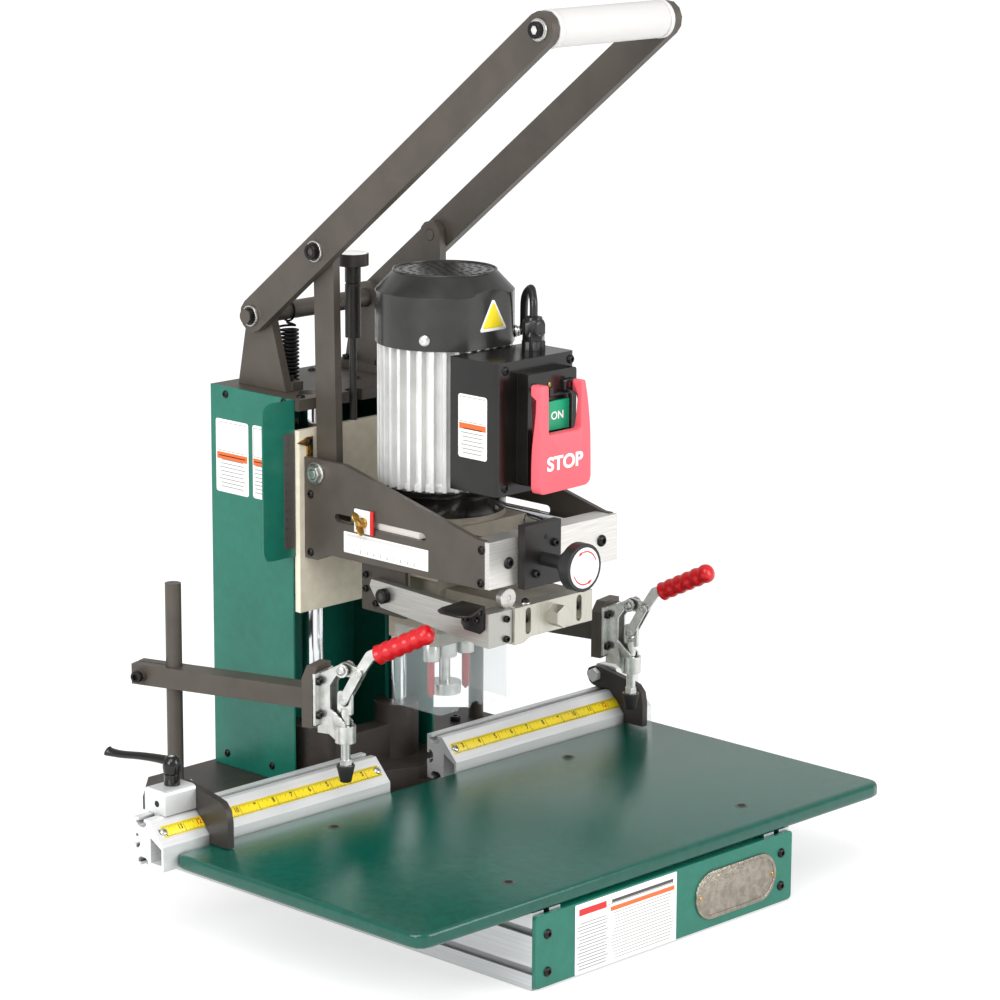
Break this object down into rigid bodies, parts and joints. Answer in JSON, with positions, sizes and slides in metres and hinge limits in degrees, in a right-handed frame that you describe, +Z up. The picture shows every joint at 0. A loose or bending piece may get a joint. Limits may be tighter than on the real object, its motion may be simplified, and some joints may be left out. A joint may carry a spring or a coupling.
{
  "type": "hinge boring machine",
  "caption": "Bench machine that bores cup-hinge holes in cabinet doors: lever-fed motor head on guide rods, fence with flip stops and toggle hold-down clamps.",
  "frame": {"origin": "on the underside of the base casting, midway between the two guide rods", "axes": "+X to the operator's right along the fence, +Y away from the operator, +Z up along the guide rods"},
  "size_m": [0.736, 0.5803, 0.945],
  "materials": {
    "green_enamel": "semi-gloss hammered enamel",
    "dark_paint": "satin dark grey paint",
    "cream_paint": "semi-gloss cream enamel",
    "anodised_aluminium": "clear anodised extrusion",
    "ground_steel": "ground and hard chromed",
    "cast_iron": "painted dark casting",
    "machined_steel": "nickel plated",
    "zinc_plate": "bright zinc plated",
    "black_plastic": "gloss black",
    "grip_plastic": "white, smooth",
    "red_plastic": "moulded red",
    "green_plastic": "moulded green",
    "clear_plastic": "clear bent sheet",
    "spring_steel": "black oiled wire",
    "cable": "black sheath"
  },
  "bodies": {
    "base": {"base_rail_left": "anodised_aluminium", "base_rail_right": "anodised_aluminium", "front_panel": "green_enamel", "work_table": "green_enamel", "fence_left": "anodised_aluminium", "fence_right": "anodised_aluminium", "base_casting": "cast_iron", "column_cover_left": "green_enamel", "column_cover_right": "green_enamel", "top_plate": "dark_paint", "guide_rod_left": "ground_steel", "guide_rod_right": "ground_steel", "pivot_ear_left": "dark_paint", "pivot_ear_right": "dark_paint", "pivot_shaft": "dark_paint", "return_spring": "spring_steel"},
    "carriage": {"carriage_plate": "cream_paint", "side_plate_left": "dark_paint", "side_plate_right": "dark_paint", "cross_bar": "anodised_aluminium", "screw_plate": "black_plastic", "slide_rod_left": "ground_steel", "slide_rod_right": "ground_steel"},
    "lever": {"lever_arm_left": "dark_paint", "lever_arm_right": "dark_paint", "lever_grip": "grip_plastic"},
    "link_left": {"link_left": "dark_paint"},
    "link_right": {"link_right": "dark_paint"},
    "head": {"motor_mount": "cast_iron", "motor_body": "anodised_aluminium", "fan_cover": "black_plastic", "switch_box": "black_plastic", "motor_lead": "cable"},
    "setback_knob": {"setback_knob": "black_plastic"},
    "depth_stop": {"depth_stop_sleeve": "dark_paint"},
    "guard": {"drill_guard": "clear_plastic"},
    "rotor": {"rotor": "machined_steel"},
    "bit_left": {"side_bit_left": "red_plastic"},
    "bit_right": {"side_bit_right": "red_plastic"},
    "paddle": {"stop_paddle": "red_plastic"},
    "button": {"on_button": "green_plastic"},
    "swing": {"swing_frame": "anodised_aluminium", "press_block": "machined_steel"},
    "stop_lever": {"stop_lever": "black_plastic"},
    "post_left": {"clamp_post_left": "dark_paint"},
    "clamp_left": {"clamp_arm_left": "dark_paint", "clamp_body_left": "zinc_plate"},
    "handle_left": {"clamp_handle_left": "red_plastic"},
    "clamp_link_left": {"clamp_link_left": "zinc_plate"},
    "plunger_left": {"clamp_plunger_left": "zinc_plate"},
    "stop_block_left": {"stop_block_left": "anodised_aluminium"},
    "flip_left": {"stop_plate_left": "dark_paint"},
    "post_right": {"clamp_post_right": "dark_paint"},
    "clamp_right": {"clamp_arm_right": "dark_paint", "clamp_body_right": "zinc_plate"},
    "handle_right": {"clamp_handle_right": "red_plastic"},
    "clamp_link_right": {"clamp_link_right": "zinc_plate"},
    "plunger_right": {"clamp_plunger_right": "zinc_plate"},
    "stop_block_right": {"stop_block_right": "anodised_aluminium"},
    "flip_right": {"stop_plate_right": "dark_paint"}
  },
  "joints": [
    {"name": "carriage_slide", "type": "slide", "parent": "base", "child": "carriage", "axis": [0, 0, 1], "range_m": [-0.095, 0], "stiffness_N_per_m": 1500, "springref_m": 0.36, "deforming": ["return_spring"]},
    {"name": "lever_pivot", "type": "hinge", "parent": "base", "child": "lever", "pos_m": [0, 0.0578, 0.596], "axis": [1, 0, 0], "range_deg": [0, 46.5]},
    {"name": "link_pivot_left", "type": "hinge", "parent": "lever", "child": "link_left", "pos_m": [-0.078, -0.0423, 0.676], "axis": [1, 0, 0], "range_deg": [-39.8, 0]},
    {"name": "link_pivot_right", "type": "hinge", "parent": "lever", "child": "link_right", "pos_m": [0.078, -0.0423, 0.676], "axis": [1, 0, 0], "range_deg": [-39.8, 0]},
    {"name": "head_slide", "type": "slide", "parent": "carriage", "child": "head", "axis": [0, 1, 0], "range_m": [-0.025, 0.017]},
    {"name": "setback_screw", "type": "hinge", "parent": "carriage", "child": "setback_knob", "pos_m": [-0.026, -0.34, 0.382], "axis": [0, 1, 0], "range_deg": [-760, 520]},
    {"name": "depth_stop_slide", "type": "slide", "parent": "carriage", "child": "depth_stop", "axis": [0, 0, 1], "range_m": [-0.034, 0]},
    {"name": "guard_slide", "type": "slide", "parent": "head", "child": "guard", "axis": [0, 0, 1], "range_m": [0, 0.03]},
    {"name": "spindle_spin", "type": "hinge", "parent": "head", "child": "rotor", "pos_m": [0, -0.139, 0.4], "axis": [0, 0, 1], "continuous": true},
    {"name": "side_bit_spin_left", "type": "hinge", "parent": "head", "child": "bit_left", "pos_m": [-0.026, -0.1445, 0.26], "axis": [0, 0, 1], "continuous": true},
    {"name": "side_bit_spin_right", "type": "hinge", "parent": "head", "child": "bit_right", "pos_m": [0.026, -0.1445, 0.26], "axis": [0, 0, 1], "continuous": true},
    {"name": "paddle_hinge", "type": "hinge", "parent": "head", "child": "paddle", "pos_m": [0.009, -0.293, 0.551], "axis": [1, 0, 0], "range_deg": [-35, 4], "stiffness_Nm_per_rad": 0.25, "springref_deg": -0.86},
    {"name": "button_press", "type": "slide", "parent": "head", "child": "button", "axis": [0, 1, 0], "range_m": [0, 0.003], "stiffness_N_per_m": 400, "springref_m": -0.002},
    {"name": "swing_pivot", "type": "hinge", "parent": "head", "child": "swing", "pos_m": [-0.088, -0.145, 0.326], "axis": [1, 0, 0], "range_deg": [0, 85]},
    {"name": "post_swivel_left", "type": "hinge", "parent": "base", "child": "post_left", "pos_m": [-0.2266, 0.037, 0.2], "axis": [0, 0, 1], "range_deg": [-60, 2]},
    {"name": "arm_height_left", "type": "slide", "parent": "post_left", "child": "clamp_left", "axis": [0, 0, 1], "range_m": [-0.015, 0.06]},
    {"name": "handle_pivot_left", "type": "hinge", "parent": "clamp_left", "child": "handle_left", "pos_m": [-0.16325, -0.15797, 0.263], "axis": [0.9511, 0.309, 0], "range_deg": [0, 83]},
    {"name": "toggle_link_left", "type": "hinge", "parent": "handle_left", "child": "clamp_link_left", "pos_m": [-0.15807, -0.17393, 0.261], "axis": [0.9511, 0.309, 0], "range_deg": [-109, 0]},
    {"name": "plunger_slide_left", "type": "slide", "parent": "clamp_left", "child": "plunger_left", "axis": [0, 0, 1], "range_m": [-0.0219, 0]},
    {"name": "stop_slide_left", "type": "slide", "parent": "base", "child": "stop_block_left", "axis": [1, 0, 0], "range_m": [-0.005, 0.18]},
    {"name": "flip_left", "type": "hinge", "parent": "stop_block_left", "child": "flip_left", "pos_m": [-0.303, -0.064, 0.145], "axis": [-1, 0, 0], "range_deg": [0, 100]},
    {"name": "post_swivel_right", "type": "hinge", "parent": "base", "child": "post_right", "pos_m": [0.2266, 0.037, 0.2], "axis": [0, 0, 1], "range_deg": [-20, 50]},
    {"name": "arm_height_right", "type": "slide", "parent": "post_right", "child": "clamp_right", "axis": [0, 0, 1], "range_m": [-0.015, 0.06]},
    {"name": "handle_pivot_right", "type": "hinge", "parent": "clamp_right", "child": "handle_right", "pos_m": [0.26922, -0.16352, 0.255], "axis": [0.9781, 0.2079, 0], "range_deg": [0, 83]},
    {"name": "toggle_link_right", "type": "hinge", "parent": "handle_right", "child": "clamp_link_right", "pos_m": [0.27271, -0.17994, 0.253], "axis": [0.9781, 0.2079, 0], "range_deg": [-109, 0]},
    {"name": "plunger_slide_right", "type": "slide", "parent": "clamp_right", "child": "plunger_right", "axis": [0, 0, 1], "range_m": [-0.0219, 0]},
    {"name": "stop_slide_right", "type": "slide", "parent": "base", "child": "stop_block_right", "axis": [1, 0, 0], "range_m": [-0.18, 0.005]},
    {"name": "flip_right", "type": "hinge", "parent": "stop_block_right", "child": "flip_right", "pos_m": [0.324, -0.064, 0.145], "axis": [-1, 0, 0], "range_deg": [0, 100]},
    {"name": "stop_lever_turn", "type": "hinge", "parent": "stop_block_left", "child": "stop_lever", "pos_m": [-0.325, -0.069, 0.17], "axis": [0, 0, 1], "range_deg": [-60, 30]}
  ],
  "couplings": [
    {"joint": "lever_pivot", "follows": "carriage_slide", "rad_per_m": -8.424},
    {"joint": "link_pivot_left", "follows": "carriage_slide", "rad_per_m": 7.212},
    {"joint": "link_pivot_right", "follows": "carriage_slide", "rad_per_m": 7.212},
    {"joint": "setback_screw", "follows": "head_slide", "rad_per_m": 523.6},
    {"joint": "side_bit_spin_left", "follows": "spindle_spin", "ratio": -1},
    {"joint": "side_bit_spin_right", "follows": "spindle_spin", "ratio": -1},
    {"joint": "toggle_link_left", "follows": "handle_pivot_left", "ratio": -1.3072},
    {"joint": "plunger_slide_left", "follows": "handle_pivot_left", "m_per_rad": -0.015014},
    {"joint": "toggle_link_right", "follows": "handle_pivot_right", "ratio": -1.3072},
    {"joint": "plunger_slide_right", "follows": "handle_pivot_right", "m_per_rad": -0.015014}
  ]
}
